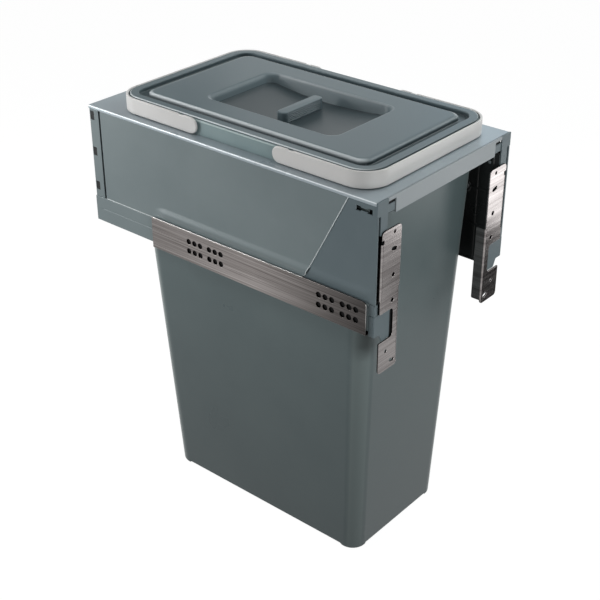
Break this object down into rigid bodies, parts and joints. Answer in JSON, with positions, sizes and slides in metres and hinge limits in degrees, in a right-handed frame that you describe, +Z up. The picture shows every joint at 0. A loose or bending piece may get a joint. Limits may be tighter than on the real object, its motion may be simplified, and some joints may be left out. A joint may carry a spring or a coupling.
{
  "type": "pull-out waste bin",
  "caption": "Pull-out kitchen waste bin: a tapered lidded bin with bail handles, hung in a tray between hollow steel drawer sides that run out on cabinet rails, with door brackets in front.",
  "frame": {"origin": "under the middle of the unit, on the plane of the bin's feet", "axes": "+Z up, the door side faces -Y, X runs across with the left side at -X"},
  "size_m": [0.268, 0.452, 0.5495],
  "materials": {
    "coated_steel": "satin grey powder coat on sheet steel",
    "tray_steel": "satin grey coated sheet steel",
    "grey_plastic": "fine grained moulded plastic",
    "light_grey_plastic": "fine grained moulded plastic",
    "bin_plastic": "satin moulded polypropylene",
    "bail_plastic": "satin light grey moulded plastic",
    "black_plastic": "black glass-filled nylon",
    "brushed_steel": "long grain brushed steel",
    "plated_steel": "bright zinc plate"
  },
  "bodies": {
    "cabinet_rails": {"left_cabinet_rail": "brushed_steel", "left_damper_body": "black_plastic", "left_damper_rod": "plated_steel", "right_cabinet_rail": "brushed_steel", "right_damper_body": "black_plastic", "right_damper_rod": "plated_steel"},
    "drawer": {"left_runner": "coated_steel", "left_runner_end_cap": "grey_plastic", "left_side_panel": "coated_steel", "left_inner_panel": "coated_steel", "left_front_cover": "grey_plastic", "left_rear_bracket": "coated_steel", "left_corner_cap": "grey_plastic", "left_coupling_housing": "black_plastic", "left_latch_pin": "plated_steel", "left_door_bracket": "brushed_steel", "right_runner": "coated_steel", "right_runner_end_cap": "grey_plastic", "right_side_panel": "coated_steel", "right_inner_panel": "coated_steel", "right_front_cover": "grey_plastic", "right_rear_bracket": "coated_steel", "right_corner_cap": "grey_plastic", "right_coupling_housing": "black_plastic", "right_latch_pin": "plated_steel", "right_door_bracket": "brushed_steel", "top_tray": "tray_steel", "tray_screws": "plated_steel", "adjuster_screws": "plated_steel", "front_cross_rail": "light_grey_plastic", "back_panel": "coated_steel"},
    "left_middle_rail": {"left_middle_rail": "plated_steel"},
    "left_lower_carriage": {"left_lower_roller_cage": "black_plastic", "left_lower_rollers": "plated_steel"},
    "left_upper_carriage": {"left_upper_roller_cage": "black_plastic", "left_upper_rollers": "plated_steel"},
    "left_latch": {"left_latch_lever": "black_plastic"},
    "right_middle_rail": {"right_middle_rail": "plated_steel"},
    "right_lower_carriage": {"right_lower_roller_cage": "black_plastic", "right_lower_rollers": "plated_steel"},
    "right_upper_carriage": {"right_upper_roller_cage": "black_plastic", "right_upper_rollers": "plated_steel"},
    "right_latch": {"right_latch_lever": "black_plastic"},
    "bin": {"waste_bin": "bin_plastic"},
    "lid": {"lid": "bin_plastic"},
    "front_bail": {"front_bail": "bail_plastic"},
    "rear_bail": {"rear_bail": "bail_plastic"}
  },
  "joints": [
    {"name": "drawer_slide", "type": "slide", "parent": "cabinet_rails", "child": "drawer", "axis": [0, -1, 0], "range_m": [0, 0.42]},
    {"name": "left_middle_rail_slide", "type": "slide", "parent": "cabinet_rails", "child": "left_middle_rail", "axis": [0, -1, 0], "range_m": [0, 0.21]},
    {"name": "left_lower_carriage_slide", "type": "slide", "parent": "cabinet_rails", "child": "left_lower_carriage", "axis": [0, -1, 0], "range_m": [0, 0.105]},
    {"name": "left_upper_carriage_slide", "type": "slide", "parent": "cabinet_rails", "child": "left_upper_carriage", "axis": [0, -1, 0], "range_m": [0, 0.315]},
    {"name": "left_latch_hinge", "type": "hinge", "parent": "drawer", "child": "left_latch", "pos_m": [-0.1191, -0.21, 0.491], "axis": [1, 0, 0], "range_deg": [0, 15], "stiffness_Nm_per_rad": 0.05, "springref_deg": -5.73},
    {"name": "right_middle_rail_slide", "type": "slide", "parent": "cabinet_rails", "child": "right_middle_rail", "axis": [0, -1, 0], "range_m": [0, 0.21]},
    {"name": "right_lower_carriage_slide", "type": "slide", "parent": "cabinet_rails", "child": "right_lower_carriage", "axis": [0, -1, 0], "range_m": [0, 0.105]},
    {"name": "right_upper_carriage_slide", "type": "slide", "parent": "cabinet_rails", "child": "right_upper_carriage", "axis": [0, -1, 0], "range_m": [0, 0.315]},
    {"name": "right_latch_hinge", "type": "hinge", "parent": "drawer", "child": "right_latch", "pos_m": [0.1191, -0.21, 0.491], "axis": [1, 0, 0], "range_deg": [0, 15], "stiffness_Nm_per_rad": 0.05, "springref_deg": -5.73},
    {"name": "bin_lift", "type": "slide", "parent": "drawer", "child": "bin", "axis": [0, 0, 1], "range_m": [0, 0.54]},
    {"name": "lid_lift", "type": "slide", "parent": "bin", "child": "lid", "axis": [0, 0, 1], "range_m": [0, 0.06]},
    {"name": "front_bail_hinge", "type": "hinge", "parent": "bin", "child": "front_bail", "pos_m": [0, -0.0769, 0.538], "axis": [-1, 0, 0], "range_deg": [0, 115]},
    {"name": "rear_bail_hinge", "type": "hinge", "parent": "bin", "child": "rear_bail", "pos_m": [0, 0.0601, 0.538], "axis": [1, 0, 0], "range_deg": [0, 115]}
  ],
  "couplings": [
    {"joint": "left_middle_rail_slide", "follows": "drawer_slide", "ratio": 0.5},
    {"joint": "left_lower_carriage_slide", "follows": "drawer_slide", "ratio": 0.25},
    {"joint": "left_upper_carriage_slide", "follows": "drawer_slide", "ratio": 0.75},
    {"joint": "right_middle_rail_slide", "follows": "drawer_slide", "ratio": 0.5},
    {"joint": "right_lower_carriage_slide", "follows": "drawer_slide", "ratio": 0.25},
    {"joint": "right_upper_carriage_slide", "follows": "drawer_slide", "ratio": 0.75}
  ]
}
